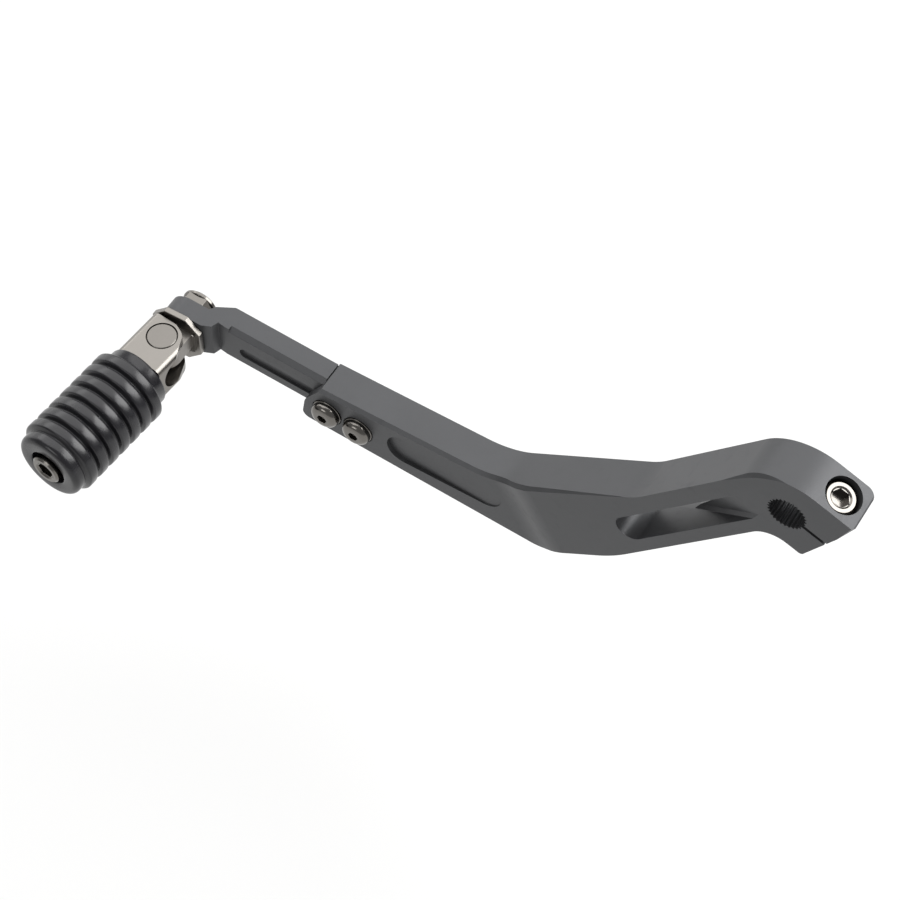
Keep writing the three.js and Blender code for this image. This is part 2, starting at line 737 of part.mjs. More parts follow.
/** A lock nut: hexagon against the lug, round collar outside it. */
function studNut() {
  const [y0, hole] = [front.lugBack, knuckle.stud / 2 + SLIP];
  const n = nut;
  const round = turned([
    [0, y0], [n.flats / 2 + 0.25, y0], [n.flats / Math.sqrt(3) + 0.1, y0 + 0.5],
    [n.flats / Math.sqrt(3) + 0.1, y0 + n.hexHeight], [0, y0 + n.hexHeight],
  ], 36);
  const collar = turned([
    [0, y0 + n.hexHeight - 0.2], [n.collarRadius - 0.3, y0 + n.hexHeight - 0.2], [n.collarRadius, y0 + n.hexHeight + 0.1],
    [n.collarRadius, y0 + n.height - 0.7], [n.collarRadius - 0.9, y0 + n.height], [0, y0 + n.height],
  ], 48);
  const blank = hexRod(n.flats, y0, y0 + n.hexHeight).intersect(round).add(collar);
  const seat = turned([
    [0, y0 - 1], [hole, y0 - 1], [hole, y0 + n.hexHeight], [hole + 0.9, y0 + n.hexHeight],
    [hole + 0.9, y0 + n.height + 1], [0, y0 + n.height + 1],
  ], 36);
  return piece('stud_nut', atHub(blank.subtract(seat)), brightSteel);
}

function nutInsert() {
  const [y0, hole] = [front.lugBack + nut.hexHeight, knuckle.stud / 2 + SLIP];
  const ring = turned([
    [hole, y0], [hole + 0.8, y0], [hole + 0.8, y0 + nut.insertHeight], [hole, y0 + nut.insertHeight], [hole, y0],
  ], 36);
  return piece('nut_insert', atHub(ring), nylon);
}

/** The return spring: a close coil round the pin with a short leg on each side. */
function returnSpring() {
  const radius = pin.shank / 2 + SLIP + spring.gap + spring.wire / 2;
  const top = knuckle.eyeBottom - spring.gap - spring.wire / 2;
  const pitch = spring.wire * 1.12;
  const points = [];
  const per = 14;
  const n = Math.round(spring.turns * per);
  for (let i = 0; i <= n; i++) {
    const a = -90 * DEG + (i / per) * 2 * Math.PI;
    points.push(new THREE.Vector3(radius * Math.cos(a), radius * Math.sin(a), top - (pitch * i) / per));
  }
  const first = points[0];
  const last = points[n];
  points.unshift(new THREE.Vector3(first.x - spring.leg, first.y, first.z));
  points.push(new THREE.Vector3(last.x, last.y - spring.leg, last.z));
  const wire = new THREE.Shape();
  wire.absarc(0, 0, spring.wire / 2, 0, 2 * Math.PI, false);
  const path = new THREE.CatmullRomCurve3(points, false, 'centripetal');
  const g = new THREE.ExtrudeGeometry(wire, { steps: 90, curveSegments: 4, extrudePath: path, bevelEnabled: false });
  return piece('return_spring', atHub(solid(g).translate([0, pinY, 0])), springSteel);
}

// ---------------------------------------------------------------- toe peg, moving side

/** The fork, drawn about the hinge axis with the peg running to -Y. */
function pegFork() {
  const p = peg;
  const w = p.width / 2;
  const plan = outline([
    [-w, -p.reach], [w, -p.reach], [w, -3.4, 3.4], [5.0, 4.1, 4.5],
    [0.8, p.left, 3], [-w, p.left, 0.6],
  ]);
  const h = p.height / 2;
  const sides = outline([[-w, -h, p.corner], [w, -h, p.corner], [w, h, p.corner], [-w, h, p.corner]]);
  const shell = alongZ(plan, -h, h, 8).intersect(alongY(sides, -p.reach - OVER, p.left + OVER, 8));
  const gap = h - p.cheek;
  const slotShape = outline([
    [-p.slotEnd, -gap, gap - 0.05], [OVER + p.left, -gap], [OVER + p.left, gap], [-p.slotEnd, gap, gap - 0.05],
  ]);
  const slotCut = new THREE.ExtrudeGeometry(slotShape, { depth: 4 * w, bevelEnabled: false, curveSegments: 10 });
  slotCut.rotateX(Math.PI / 2).rotateZ(Math.PI / 2).translate(-2 * w, 0, 0);
  const core = rod(grip.core, -p.reach - grip.length + grip.counterboreDepth + grip.lip, -p.reach + 0.5);
  const thread = rod(pegScrew.thread / 2 + SLIP, -p.reach - grip.length - 5, -p.reach - grip.length + 24);
  const hole = aboutPin([[0, -20], [pin.shank / 2 + SLIP, -20], [pin.shank / 2 + SLIP, h - pin.headHeight - FIT],
    [pin.head / 2 + SLIP, h - pin.headHeight - FIT], [pin.head / 2 + SLIP, 20], [0, 20]]);
  return piece('peg_fork', shell.subtract(solid(slotCut)).add(core).subtract(thread).subtract(hole), brightSteel);
}

function hingePin() {
  const h = peg.height / 2;
  const [r, R] = [pin.shank / 2, pin.head / 2];
  const clipTop = -h - clip.drop;
  const neck = r - pin.groove;
  const body = aboutPin([
    [0, -h - pin.proud], [r - 0.4, -h - pin.proud], [r, -h - pin.proud + 0.4], [r, clipTop - clip.thickness - 0.1],
    [neck, clipTop - clip.thickness - 0.1], [neck, clipTop + 0.1], [r, clipTop + 0.1], [r, h - pin.headHeight],
    [R, h - pin.headHeight], [R, h - 0.25], [R - 0.25, h], [0, h],
  ]);
  return piece('hinge_pin', body, stainless);
}

/** The open retaining clip in the pin's groove, under the fork. */
function pinClip() {
  const top = -peg.height / 2 - clip.drop;
  const inner = pin.shank / 2 - pin.groove + SLIP;
  const ring = aboutPin([
    [inner, top - clip.thickness], [clip.outer / 2, top - clip.thickness], [clip.outer / 2, top], [inner, top],
    [inner, top - clip.thickness],
  ]);
  const mouth = outline([[-2.2, 0], [2.2, 0], [2.2, 20], [-2.2, 20]]);
  return piece('pin_clip', ring.subtract(alongZ(mouth, -20, 0)), blackSteel);
}

/** The ribbed rubber, turned about the peg's own axis. */
function rubberSleeve() {
  const g = grip;
  const start = -peg.reach - FIT;
  const end = start - g.length;
  const inner = g.core + g.insertWall + 0.05 + SLIP;
  const outer = [[inner, start], [g.collar - 0.6, start], [g.collar, start - 0.6], [g.collar, start - 3.0]];
  for (let i = 0; i < g.ridges; i++) {
    const y = start - g.firstRidge - i * g.pitch;
    const q = g.pitch / 2;
    outer.push([g.valley, y + q], [g.ridge - 0.55, y + q * 0.62], [g.ridge, y + q * 0.22]);
    outer.push([g.ridge, y - q * 0.22], [g.ridge - 0.55, y - q * 0.62]);
  }
  const lastY = start - g.firstRidge - (g.ridges - 0.5) * g.pitch;
  outer.push([g.cap, lastY], [g.cap, end + 2.2], [g.cap - 0.7, end + 0.8], [g.cap - 2.4, end]);
  const floor = end + g.counterboreDepth;
  const bottom = pegScrew.thread / 2 + 0.6;
  outer.push([g.counterbore, end], [g.counterbore, floor], [bottom, floor]);
  outer.push([bottom, floor + g.lip - FIT], [inner, floor + g.lip - FIT], [inner, start]);
  return piece('rubber_sleeve', turned(outer, 40), rubber);
}

/** The thin steel tube that the rubber is bonded to. */
function sleeveInsert() {
  const g = grip;
  const start = -peg.reach - FIT;
  const inner = g.core + SLIP;
  const outer = g.core + g.insertWall;
  const end = start - g.length + g.counterboreDepth + g.lip;
  const tube = turned([[inner, start], [outer, start], [outer, end], [inner, end], [inner, start]], 36);
  return piece('sleeve_insert', tube, brightSteel);
}

function endScrew() {
  const s = pegScrew;
  const end = -peg.reach - FIT - grip.length;
  const seat = end + grip.counterboreDepth - FIT;
  const y = seat - s.washerThickness - s.headHeight - 0.05;
  const screw = capScrew({ thread: s.thread, headDiameter: s.head, headHeight: s.headHeight, hex: s.hex, length: s.length });
  const hole = s.thread / 2 + SLIP;
  const washer = turned([
    [hole, seat], [hole, seat - s.washerThickness], [s.washer / 2, seat - s.washerThickness],
    [s.washer / 2, seat], [hole, seat],
  ], 36);
  return [
    piece('peg_screw', screw.translate([0, y, 0]), stainless),
    piece('peg_screw_washer', washer, stainless),
  ];
}

// ---------------------------------------------------------------- assembly

const lever = new THREE.Group();
lever.add(mainArm(), frontArm(), pinchBolt(), ...jointFasteners());
lever.add(stopPlate(), hingeKnuckle(), pivotBush(), studNut(), nutInsert(), returnSpring());

const toePeg = new THREE.Group();
toePeg.position.set(front.hub[0], pinY, front.hub[1]);
toePeg.rotation.z = peg.turn * DEG;
toePeg.add(pegFork(), hingePin(), pinClip(), rubberSleeve(), sleeveInsert(), ...endScrew());
lever.add(toePeg);

export default lever;
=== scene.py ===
import json
import math

import bmesh
import bpy
from bpy.props import FloatProperty, FloatVectorProperty, IntProperty, PointerProperty
from mathutils import Euler, Matrix, Vector


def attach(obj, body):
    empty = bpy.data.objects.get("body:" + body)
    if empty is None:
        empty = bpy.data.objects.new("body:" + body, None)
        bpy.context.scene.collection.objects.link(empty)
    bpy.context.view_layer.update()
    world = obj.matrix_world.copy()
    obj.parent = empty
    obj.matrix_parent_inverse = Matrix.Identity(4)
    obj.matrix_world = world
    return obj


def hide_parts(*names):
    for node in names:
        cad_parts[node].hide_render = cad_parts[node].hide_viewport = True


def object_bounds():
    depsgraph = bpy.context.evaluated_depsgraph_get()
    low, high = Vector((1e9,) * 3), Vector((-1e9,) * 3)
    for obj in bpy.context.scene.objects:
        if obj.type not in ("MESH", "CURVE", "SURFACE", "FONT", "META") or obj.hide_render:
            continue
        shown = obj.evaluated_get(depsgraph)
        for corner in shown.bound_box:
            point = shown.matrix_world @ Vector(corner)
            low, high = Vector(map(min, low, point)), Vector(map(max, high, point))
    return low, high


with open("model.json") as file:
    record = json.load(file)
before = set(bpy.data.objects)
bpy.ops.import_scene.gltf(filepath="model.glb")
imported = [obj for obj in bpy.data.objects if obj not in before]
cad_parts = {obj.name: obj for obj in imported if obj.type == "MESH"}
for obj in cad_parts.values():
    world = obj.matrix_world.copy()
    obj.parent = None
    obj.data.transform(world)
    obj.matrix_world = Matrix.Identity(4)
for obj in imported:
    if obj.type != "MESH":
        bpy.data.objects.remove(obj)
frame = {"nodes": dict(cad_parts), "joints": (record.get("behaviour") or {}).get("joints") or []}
CAD_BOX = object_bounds()

bl_info = {
    "name": "Folding-toe gear shift lever",
    "version": (1, 0, 0),
    "blender": (4, 5, 0),
    "location": "View3D > Sidebar > Shift Lever",
    "description": "Machined arm, sprung folding toe peg and their finishes, built round the packed solids",
    "category": "Object",
}

MM = 0.001
DEG = math.pi / 180
NODES = frame["nodes"]
FOLD = next(j for j in frame["joints"] if j["name"] == "peg_fold")
HINGE = Vector(FOLD["pos_m"])
REST_TURN = -5.5 * DEG  # the peg points slightly outwards when it rests on its stop
PEG = Matrix.Translation(HINGE) @ Matrix.Rotation(REST_TURN, 4, "Z")

SAME_POINT = 0.002 * MM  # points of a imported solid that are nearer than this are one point
SAME_PLANE = 0.6 * DEG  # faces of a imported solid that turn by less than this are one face
NOISE_RANGE = (0.25, 0.75)  # where nearly all of a noise's values lie
GRAIN_DEPTH = 0.05 * MM

# Half of one rib's section, from its groove to its crown: distance from the rib's middle as a share of
# the pitch, and height as a share of the groove's depth.
RIB = ((0.5, 0.0), (0.455, 0.04), (0.415, 0.22), (0.355, 0.66), (0.315, 0.86), (0.275, 0.955),
       (0.22, 0.99), (0.0, 1.0))

FLOOR_HALF_WIDTH = 4.0
LEVER_MIDDLE = Vector((-0.1, -0.01, -0.03))
SOFTBOXES = (  # name, place from the lever's middle, width and height, share of the key light
    ("Overhead", (-0.35, 0.55, 0.95), (1.9, 1.5), 0.80),
    ("Right", (0.75, 0.55, 0.75), (0.7, 0.9), 0.62),
    ("Left", (-1.1, 0.35, 0.25), (0.9, 1.0), 0.14),
    ("Front", (-0.32, -0.92, 0.53), (0.5, 0.3), 0.07),
)
CAMERA_PLACE = (0.15155, -0.43501, 0.68545)
CAMERA_TURN = Euler((34.188 * DEG, 0.0, 31.158 * DEG))
SENSOR_WIDTH = 36.0
NEAR_CLIP = 0.05


# ------------------------------------------------------------------ sizes and colours


def length(name, description, default):
    return FloatProperty(name=name, description=description, default=default, min=0.0,
                         subtype="DISTANCE", unit="LENGTH")


def tint(name, description, default):
    return FloatVectorProperty(name=name, description=description, default=default, size=3,
                               min=0.0, max=1.0, subtype="COLOR")


class ArmSizes(bpy.types.PropertyGroup):
    """Edges and finish of the machined arm."""

    edge: length("Edge ease", "Width of the eased edges of the main arm", 0.2 * MM)
    front_edge: length("Front arm edge", "Width of the eased edges of the front arm", 0.25 * MM)
    colour: tint("Anodising", "Colour of the anodised aluminium", (0.067, 0.068, 0.071))


class HardwareSizes(bpy.types.PropertyGroup):
    """Edges and finish of screws, plate, fork and pin."""

    edge: length("Edge ease", "Width of the eased edges of screws, nut and pin", 0.12 * MM)
    fork_edge: length("Fork edge", "Width of the tumbled edges of the fork", 0.45 * MM)
    plate_edge: length("Plate edge", "Width of the eased edges of the stop plate", 0.25 * MM)
    eye_edge: length("Eye edge", "Width of the eased edges of the fixed eye", 0.3 * MM)
    tube_edge: length("Tube edge", "Width of the eased edges of the tube inside the rubber", 0.1 * MM)
    wire_edge: length("Wire edge", "Width of the eased ends of the spring wire", 0.02 * MM)
    colour: tint("Steel", "Colour of the bright steel", (0.262, 0.247, 0.228))


class GripSizes(bpy.types.PropertyGroup):
    """Shape and finish of the ribbed rubber."""

    ribs: IntProperty(name="Ribs", description="Number of rounded ribs", default=7, min=1, max=16)
    rib_radius: length("Rib radius", "Radius over the ribs", 13.0 * MM)
    valley_radius: length("Valley radius", "Radius at the bottom of the grooves", 11.35 * MM)
    pitch: length("Rib pitch", "Distance between ribs", 5.0 * MM)
    first_rib: length("First rib", "Distance of the first rib from the fork's end", 6.4 * MM)
    collar_radius: length("Collar radius", "Radius of the plain collar beside the fork", 10.6 * MM)
    cap_radius: length("Cap radius", "Radius of the plain outer end", 11.5 * MM)
    cap_round: length("Cap rounding", "Rounding of the outer end", 1.9 * MM)
    pocket_radius: length("Pocket radius", "Radius of the pocket for the end screw", 6.2 * MM)
    pocket_depth: length("Pocket depth", "Depth of the pocket for the end screw", 4.2 * MM)
    pocket_round: length("Pocket rounding", "Rounding of the pocket's mouth", 0.5 * MM)
    hole_radius: length("Hole radius", "Radius of the hole under the end screw", 3.6 * MM)
    lip: length("Lip", "Thickness of the rubber under the end screw", 2.7 * MM)
    tube_room: length("Tube room", "Clearance between the rubber and its tube", 0.28 * MM)
    colour: tint("Rubber", "Colour of the moulded rubber", (0.0078, 0.0076, 0.0094))


class StudioSizes(bpy.types.PropertyGroup):
    """Floor, lights and camera."""

    drop: length("Floor drop", "Distance of the floor below the lever", 0.11)
    key: FloatProperty(name="Key light", description="Power that the softboxes share", default=22.0, min=0.0)
    fill: FloatProperty(name="Surround", description="Brightness of the surroundings", default=0.36, min=0.0)
    lens: FloatProperty(name="Lens", description="Focal length of the camera", default=120.0,
                        subtype="DISTANCE_CAMERA", unit="CAMERA")


def arm_sizes():
    return bpy.context.scene.shift_arm


def hardware_sizes():
    return bpy.context.scene.shift_hardware


def grip_sizes():
    return bpy.context.scene.shift_grip


def studio_sizes():
    return bpy.context.scene.shift_studio


# ------------------------------------------------------------------ shared surface effects


def group_socket(group, name, in_out, kind="NodeSocketFloat", value=None):
    socket = group.interface.new_socket(name=name, in_out=in_out, socket_type=kind)
    if value is not None:
        socket.default_value = value
    return socket


def surface_group():
    """Fine grain, soft clouding and rubbed patches, as values from 0 to 1."""
    existing = bpy.data.node_groups.get("Surface variation")
    if existing:
        return existing
    group = bpy.data.node_groups.new("Surface variation", "ShaderNodeTree")
    group_socket(group, "Place", "INPUT", "NodeSocketVector")
    group_socket(group, "Grain scale", "INPUT", value=3000.0)
    group_socket(group, "Cloud scale", "INPUT", value=45.0)
    group_socket(group, "Grain", "OUTPUT")
    group_socket(group, "Cloud", "OUTPUT")
    group_socket(group, "Scuff", "OUTPUT")
    nodes, links = group.nodes, group.links
    inside = nodes.new("NodeGroupInput")
    outside = nodes.new("NodeGroupOutput")
    grain = nodes.new("ShaderNodeTexNoise")
    grain.inputs["Detail"].default_value = 2.0
    cloud = nodes.new("ShaderNodeTexNoise")
    cloud.inputs["Detail"].default_value = 4.0
    cloud.inputs["Roughness"].default_value = 0.55
    scuff = nodes.new("ShaderNodeTexNoise")
    scuff.inputs["Scale"].default_value = 260.0
    scuff.inputs["Detail"].default_value = 6.0
    scuff.inputs["Distortion"].default_value = 0.6
    sharpen = nodes.new("ShaderNodeMapRange")
    sharpen.inputs["From Min"].default_value = 0.56
    sharpen.inputs["From Max"].default_value = 0.78
    links.new(inside.outputs["Place"], grain.inputs["Vector"])
    links.new(inside.outputs["Grain scale"], grain.inputs["Scale"])
    links.new(inside.outputs["Place"], cloud.inputs["Vector"])
    links.new(inside.outputs["Cloud scale"], cloud.inputs["Scale"])
    links.new(inside.outputs["Place"], scuff.inputs["Vector"])
    links.new(scuff.outputs["Fac"], sharpen.inputs["Value"])
    links.new(grain.outputs["Fac"], outside.inputs["Grain"])
    links.new(cloud.outputs["Fac"], outside.inputs["Cloud"])
    links.new(sharpen.outputs["Result"], outside.inputs["Scuff"])
    return group


def brushing_group():
    """Streaks drawn along one direction, as left by a belt or a cutter."""
    existing = bpy.data.node_groups.get("Cutter streaks")
    if existing:
        return existing
    group = bpy.data.node_groups.new("Cutter streaks", "ShaderNodeTree")
    group_socket(group, "Place", "INPUT", "NodeSocketVector")
    group_socket(group, "Direction scale", "INPUT", "NodeSocketVector")
    group_socket(group, "Streak", "OUTPUT")
    nodes, links = group.nodes, group.links
    inside = nodes.new("NodeGroupInput")
    outside = nodes.new("NodeGroupOutput")
    stretch = nodes.new("ShaderNodeVectorMath")
    stretch.operation = "MULTIPLY"
    noise = nodes.new("ShaderNodeTexNoise")
    noise.inputs["Scale"].default_value = 1.0
    noise.inputs["Detail"].default_value = 3.0
    links.new(inside.outputs["Place"], stretch.inputs[0])
    links.new(inside.outputs["Direction scale"], stretch.inputs[1])
    links.new(stretch.outputs["Vector"], noise.inputs["Vector"])
    links.new(noise.outputs["Fac"], outside.inputs["Streak"])
    return group


class Recipe:
    """A material being put together round one Principled shader."""

    def __init__(self, name):
        self.material = bpy.data.materials.new(name)
        self.material.use_nodes = True
        tree = self.material.node_tree
        self.nodes, self.links = tree.nodes, tree.links
        self.shader = self.nodes["Principled BSDF"]
        self.place = self.nodes.new("ShaderNodeTexCoord").outputs["Object"]

    def set(self, **values):
        for key, value in values.items():
            self.shader.inputs[key.replace("_", " ")].default_value = value

    def surface(self, grain_scale, cloud_scale):
        node = self.nodes.new("ShaderNodeGroup")
        node.node_tree = surface_group()
        node.inputs["Grain scale"].default_value = grain_scale
        node.inputs["Cloud scale"].default_value = cloud_scale
        self.links.new(self.place, node.inputs["Place"])
        return node.outputs

    def streak(self, direction_scale):
        node = self.nodes.new("ShaderNodeGroup")
        node.node_tree = brushing_group()
        node.inputs["Direction scale"].default_value = direction_scale
        self.links.new(self.place, node.inputs["Place"])
        return node.outputs["Streak"]

    def spread(self, value, low, high):
        node = self.nodes.new("ShaderNodeMapRange")
        node.inputs["From Min"].default_value, node.inputs["From Max"].default_value = NOISE_RANGE
        node.inputs["To Min"].default_value = low
        node.inputs["To Max"].default_value = high
        self.links.new(value, node.inputs["Value"])
        return node.outputs["Result"]

    def plus(self, a, b, weight=1.0):
        node = self.nodes.new("ShaderNodeMath")
        node.operation = "MULTIPLY_ADD"
        self.links.new(b, node.inputs[0])
        node.inputs[1].default_value = weight
        self.links.new(a, node.inputs[2])
        return node.outputs[0]

    def colour(self, value, dark, light):
        node = self.nodes.new("ShaderNodeMix")
        node.data_type = "RGBA"
        node.inputs["A"].default_value = (*dark, 1.0)
        node.inputs["B"].default_value = (*light, 1.0)
        self.links.new(value, node.inputs["Factor"])
        self.links.new(node.outputs["Result"], self.shader.inputs["Base Color"])

    def feed(self, socket, value):
        self.links.new(value, self.shader.inputs[socket])

    def bump(self, height, strength, distance):
        node = self.nodes.new("ShaderNodeBump")
        node.inputs["Strength"].default_value = strength
        node.inputs["Distance"].default_value = distance
        self.links.new(height, node.inputs["Height"])
        self.links.new(node.outputs["Normal"], self.shader.inputs["Normal"])


def shade(colour, factor):
    return tuple(min(1.0, c * factor) for c in colour)


def once(name, make):
    return bpy.data.materials.get(name) or make(name)


def anodised(name="Satin anodised aluminium"):
    def make(n):
        tint = tuple(arm_sizes().colour)
        r = Recipe(n)
        r.set(Metallic=0.4, IOR=1.5, Specular_IOR_Level=0.28)
        surface = r.surface(2600.0, 38.0)
        streak = r.streak((140.0, 5200.0, 140.0))
        tone = r.plus(surface["Cloud"], streak, 0.12)
        r.colour(r.spread(tone, 0.0, 1.0), shade(tint, 0.90), shade(tint, 1.10))
        r.feed("Roughness", r.spread(r.plus(surface["Cloud"], surface["Scuff"], 0.3), 0.36, 0.47))
        r.bump(r.plus(surface["Grain"], streak, 0.35), 0.10, GRAIN_DEPTH)
        return r.material
    return once(name, make)


def bright_steel(name, roughness, streaks, tint_factor=1.0):
    def make(n):
        tint = shade(tuple(hardware_sizes().colour), tint_factor)
        r = Recipe(n)
        r.set(Metallic=1.0)
        surface = r.surface(1800.0, 160.0)
        streak = r.streak(streaks)
        tone = r.plus(surface["Cloud"], streak, 0.2)
        r.colour(r.spread(tone, 0.0, 1.0), shade(tint, 0.96), shade(tint, 1.03))
        low, high = roughness
        r.feed("Roughness", r.spread(r.plus(surface["Cloud"], surface["Scuff"], 0.15), low, high))
        r.bump(r.plus(surface["Grain"], streak, 0.8), 0.06, GRAIN_DEPTH)
        return r.material
    return once(name, make)


def polished_stainless():
    return bright_steel("Polished stainless", (0.17, 0.23), (900.0, 900.0, 900.0), 0.62)


def tumbled_steel():
    return bright_steel("Tumbled bright steel", (0.27, 0.34), (500.0, 2600.0, 500.0), 0.78)


def pin_steel():
    return bright_steel("Ground pin steel", (0.28, 0.34), (2600.0, 300.0, 300.0), 0.64)


def wire_steel():
    return bright_steel("Spring wire", (0.22, 0.4), (1500.0, 1500.0, 300.0), 0.6)


def black_oxide():
    def make(n):
        r = Recipe(n)
        r.set(Metallic=0.8)
        surface = r.surface(2500.0, 220.0)
        r.colour(surface["Scuff"], (0.012, 0.012, 0.013), (0.06, 0.058, 0.055))
        r.feed("Roughness", r.spread(surface["Cloud"], 0.3, 0.5))
        r.bump(surface["Grain"], 0.15, GRAIN_DEPTH)
        return r.material
    return once("Black oxide steel", make)


def sintered_bronze():
    def make(n):
        r = Recipe(n)
        r.set(Metallic=0.95)
        surface = r.surface(4200.0, 300.0)
        r.colour(r.spread(surface["Grain"], 0.0, 1.0), (0.22, 0.13, 0.05), (0.45, 0.29, 0.12))
        r.feed("Roughness", r.spread(surface["Cloud"], 0.35, 0.55))
        r.bump(surface["Grain"], 0.35, 0.1 * MM)
        return r.material
    return once("Sintered bronze", make)


def natural_nylon():
    def make(n):
        r = Recipe(n)
        r.set(Subsurface_Weight=0.15, Subsurface_Scale=0.001)
        surface = r.surface(1500.0, 200.0)
        r.colour(r.spread(surface["Cloud"], 0.0, 1.0), (0.60, 0.62, 0.56), (0.72, 0.73, 0.68))
        r.feed("Roughness", r.spread(surface["Grain"], 0.42, 0.55))
        r.bump(surface["Grain"], 0.1, 0.1 * MM)
        return r.material
    return once("Natural nylon", make)


def moulded_rubber():
    def make(n):
        tint = tuple(grip_sizes().colour)
        r = Recipe(n)
        r.set(Specular_IOR_Level=0.45, IOR=1.5)
        surface = r.surface(1500.0, 70.0)
        tone = r.plus(surface["Cloud"], surface["Scuff"], 0.5)
        r.colour(r.spread(tone, 0.0, 1.0), shade(tint, 0.8), shade(tint, 1.5))
        r.feed("Roughness", r.spread(r.plus(surface["Cloud"], surface["Scuff"], 0.3), 0.22, 0.30))
        r.bump(surface["Grain"], 0.10, 0.12 * MM)
        return r.material
    return once("Moulded rubber", make)


# ------------------------------------------------------------------ shaping


def settle(bm, name, material, body, node):
    """Turns a finished bmesh into a named piece that rides on a body."""
    mesh = bpy.data.meshes.new(name)
    bm.to_mesh(mesh)
    bm.free()
    piece = bpy.data.objects.new(name, mesh)
    bpy.context.scene.collection.objects.link(piece)
    mesh.materials.append(material)
    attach(piece, body)
    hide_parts(node)
    return piece


def ease(piece, width, segments=2, angle=28.0):
    """Rounds the sharp edges a little and keeps the flats flat."""
    for polygon in piece.data.polygons:
        polygon.use_smooth = True
    bevel = piece.modifiers.new("Eased edges", "BEVEL")
    bevel.width = width
    bevel.segments = segments
    bevel.limit_method = "ANGLE"
    bevel.angle_limit = angle * DEG
    bevel.use_clamp_overlap = True
    bevel.miter_outer = "MITER_ARC"
    weighted = piece.modifiers.new("Flat faces", "WEIGHTED_NORMAL")
    weighted.weight = 90
    weighted.keep_sharp = True


def from_solid(node, name, material, body, width, segments=2, angle=28.0):
    """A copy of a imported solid, merged into whole faces, with its edges eased."""
    bm = bmesh.new()
    bm.from_mesh(NODES[node].data)
    bmesh.ops.remove_doubles(bm, verts=bm.verts, dist=SAME_POINT)
    bmesh.ops.dissolve_degenerate(bm, edges=bm.edges, dist=SAME_POINT)
    bmesh.ops.dissolve_limit(bm, angle_limit=SAME_PLANE, use_dissolve_boundaries=False,
                             verts=bm.verts, edges=bm.edges)
    piece = settle(bm, name, material, body, node)
    ease(piece, width, segments, angle)
    return piece


def spun(profile, place, steps):
    """Spins a closed ring of (radius, along) points about local Y and puts the result in its place."""
    bm = bmesh.new()
    verts = [bm.verts.new((r, y, 0.0)) for r, y in profile]
    edges = [bm.edges.new(pair) for pair in zip(verts, verts[1:])]
    edges.append(bm.edges.new((verts[-1], verts[0])))
    bmesh.ops.spin(bm, geom=verts + edges, cent=(0, 0, 0), axis=(0, 1, 0), dvec=(0, 0, 0),
                   angle=2 * math.pi, steps=steps, use_merge=True, use_duplicate=False)
    bmesh.ops.remove_doubles(bm, verts=bm.verts, dist=0.001 * MM)
    bmesh.ops.recalc_face_normals(bm, faces=bm.faces)
    bmesh.ops.transform(bm, matrix=place, verts=bm.verts)
    for face in bm.faces:
        face.smooth = True
    return bm


def along_peg(node):
    """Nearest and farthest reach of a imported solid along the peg, and its largest radius."""
    back = PEG.inverted()
    points = [back @ v.co for v in NODES[node].data.vertices]
    return min(p.y for p in points), max(p.y for p in points), max(math.hypot(p.x, p.z) for p in points)


def mark_sharp(piece, angle):
    """Keeps the creases of a turned piece crisp."""
    bm = bmesh.new()
    bm.from_mesh(piece.data)
    for edge in bm.edges:
        edge.smooth = len(edge.link_faces) != 2 or edge.calc_face_angle(0.0) < angle * DEG
    bm.to_mesh(piece.data)
    bm.free()


# ------------------------------------------------------------------ pieces


class SHIFT_OT_arm(bpy.types.Operator):
    """Machined main arm and the front arm fixed in it, with eased edges"""

    bl_idname = "shift.arm"
    bl_label = "Machined arm"

    def execute(self, context):
        s = arm_sizes()
        from_solid("main_arm", "machined_arm", anodised(), "lever", s.edge)
        from_solid("front_arm", "toe_arm", anodised(), "lever", s.front_edge)
        return {"FINISHED"}


class SHIFT_OT_clamp_bolt(bpy.types.Operator):
    """Socket cap bolt that closes the clamp on the shaft"""

    bl_idname = "shift.clamp_bolt"
    bl_label = "Clamp bolt"

    def execute(self, context):
        edge = hardware_sizes().edge
        from_solid("pinch_bolt", "clamp_bolt", polished_stainless(), "lever", edge)
        return {"FINISHED"}


class SHIFT_OT_joint_screws(bpy.types.Operator):
    """Two button head screws on plain washers, where the front arm enters the main arm"""

    bl_idname = "shift.joint_screws"
    bl_label = "Joint screws"

    def execute(self, context):
        edge, steel = hardware_sizes().edge, polished_stainless()
        for i in (1, 2):
            from_solid(f"joint_screw_{i}", f"button_screw_{i}", steel, "lever", edge)
            from_solid(f"joint_washer_{i}", f"plain_washer_{i}", steel, "lever", edge)
        return {"FINISHED"}


class SHIFT_OT_toe_mount(bpy.types.Operator):
    """Stop plate, fixed hinge eye, its bush, and the lock nut behind the arm"""

    bl_idname = "shift.toe_mount"
    bl_label = "Toe mount"

    def execute(self, context):
        s = hardware_sizes()
        from_solid("stop_plate", "stop_washer_plate", tumbled_steel(), "lever", s.plate_edge)
        from_solid("hinge_knuckle", "hinge_eye", tumbled_steel(), "lever", s.eye_edge)
        from_solid("pivot_bush", "eye_bush", sintered_bronze(), "lever", s.edge)
        from_solid("stud_nut", "lock_nut", polished_stainless(), "lever", s.edge)
        from_solid("nut_insert", "nut_collar_ring", natural_nylon(), "lever", s.edge)
        return {"FINISHED"}


